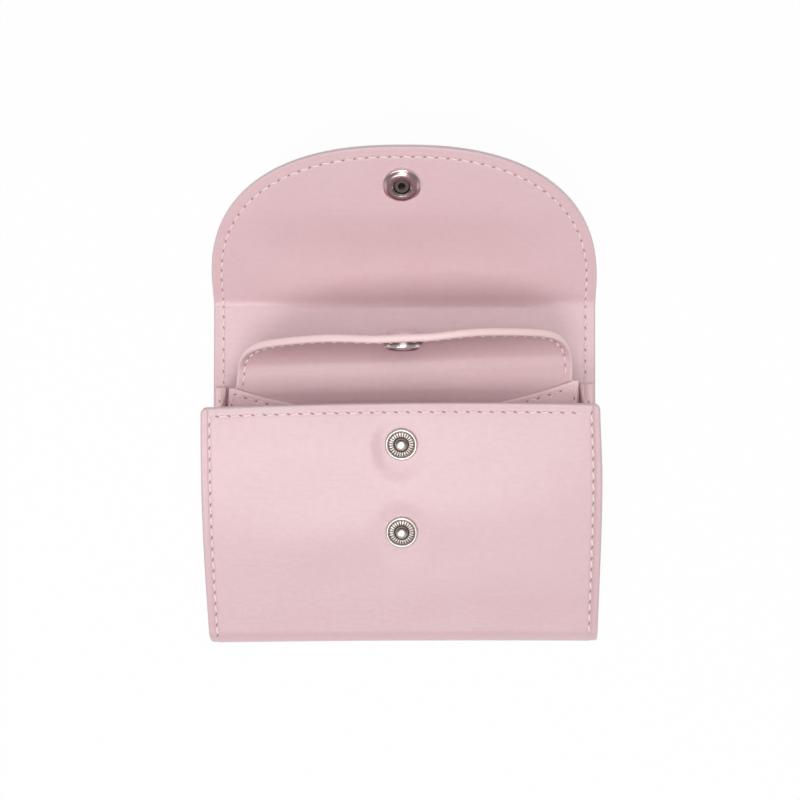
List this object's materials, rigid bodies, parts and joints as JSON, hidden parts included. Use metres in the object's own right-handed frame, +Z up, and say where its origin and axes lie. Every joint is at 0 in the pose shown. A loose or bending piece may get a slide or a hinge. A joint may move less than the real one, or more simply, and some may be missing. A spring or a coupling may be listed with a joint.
{
  "type": "card and coin wallet",
  "caption": "Small leather wallet lying open, with a rounded flap, an inner flap on a divider, side gussets and press snaps.",
  "frame": {"origin": "on the outer face of the back panel, on the middle line, 33 mm above the centre of the bottom fold", "axes": "+X across the wallet to the right as seen from above, +Y from the bottom fold towards the flap, +Z up from the table"},
  "size_m": [0.108, 0.1354, 0.0323],
  "materials": {
    "outer_leather": "smooth pale pink, slightly glossy",
    "lining_leather": "smooth pale pink, satin",
    "nickel": "polished nickel plate"
  },
  "bodies": {
    "back": {"back_panel": "outer_leather", "back_lining": "lining_leather", "bottom_fold": "outer_leather", "bottom_fold_lining": "lining_leather", "left_gusset": "lining_leather", "right_gusset": "lining_leather", "spine_fold": "outer_leather", "spine_fold_lining": "lining_leather"},
    "front": {"front_panel": "outer_leather", "front_lining": "lining_leather", "upper_stud": "nickel", "upper_stud_rivet": "nickel", "lower_stud": "nickel", "lower_stud_rivet": "nickel"},
    "divider": {"divider_back": "outer_leather", "divider_face": "lining_leather", "slip_pocket": "lining_leather", "inner_fold_back": "outer_leather", "inner_fold_face": "lining_leather"},
    "inner_arm": {"inner_arm_back": "outer_leather", "inner_arm_face": "lining_leather", "tab_fold_back": "outer_leather", "tab_fold_face": "lining_leather"},
    "inner_tab": {"inner_tab_back": "outer_leather", "inner_tab_face": "lining_leather", "inner_socket": "nickel", "inner_snap_cap": "nickel", "inner_snap_spring": "nickel"},
    "spine": {"spine_outer": "outer_leather", "spine_lining": "lining_leather", "flap_fold": "outer_leather", "flap_fold_lining": "lining_leather"},
    "flap": {"flap_outer": "outer_leather", "flap_lining": "lining_leather", "flap_socket": "nickel", "flap_snap_cap": "nickel", "flap_snap_spring": "nickel"}
  },
  "joints": [
    {"name": "spine_hinge", "type": "hinge", "parent": "back", "child": "spine", "pos_m": [0, 0.0393, 0.0019], "axis": [1, 0, 0], "range_deg": [0, 113], "deforming": ["spine_fold", "spine_fold_lining"]},
    {"name": "flap_hinge", "type": "hinge", "parent": "spine", "child": "flap", "pos_m": [0, 0.0572, 0.0019], "axis": [1, 0, 0], "range_deg": [-35, 39.5], "deforming": ["flap_fold", "flap_fold_lining"]},
    {"name": "mouth_hinge", "type": "hinge", "parent": "back", "child": "front", "pos_m": [0, -0.033, 0.0045], "axis": [-1, 0, 0], "range_deg": [0, 11.7], "deforming": ["bottom_fold", "bottom_fold_lining", "left_gusset", "right_gusset"]},
    {"name": "divider_hinge", "type": "hinge", "parent": "back", "child": "divider", "pos_m": [0, -0.033, 0.0045], "axis": [-1, 0, 0], "range_deg": [0, 5.9]},
    {"name": "inner_flap_hinge", "type": "hinge", "parent": "divider", "child": "inner_arm", "pos_m": [0, 0.0348, 0.01358], "axis": [1, 0, 0], "range_deg": [0, 116], "deforming": ["inner_fold_back", "inner_fold_face"]},
    {"name": "inner_tab_hinge", "type": "hinge", "parent": "inner_arm", "child": "inner_tab", "pos_m": [0, 0.04512, 0.01485], "axis": [1, 0, 0], "range_deg": [-12, 0], "deforming": ["tab_fold_back", "tab_fold_face"]}
  ],
  "couplings": [
    {"joint": "mouth_hinge", "follows": "spine_hinge", "ratio": 0.10265},
    {"joint": "divider_hinge", "follows": "spine_hinge", "ratio": 0.051327},
    {"joint": "inner_flap_hinge", "follows": "spine_hinge", "ratio": 1.0248},
    {"joint": "inner_tab_hinge", "follows": "spine_hinge", "ratio": -0.10487}
  ]
}
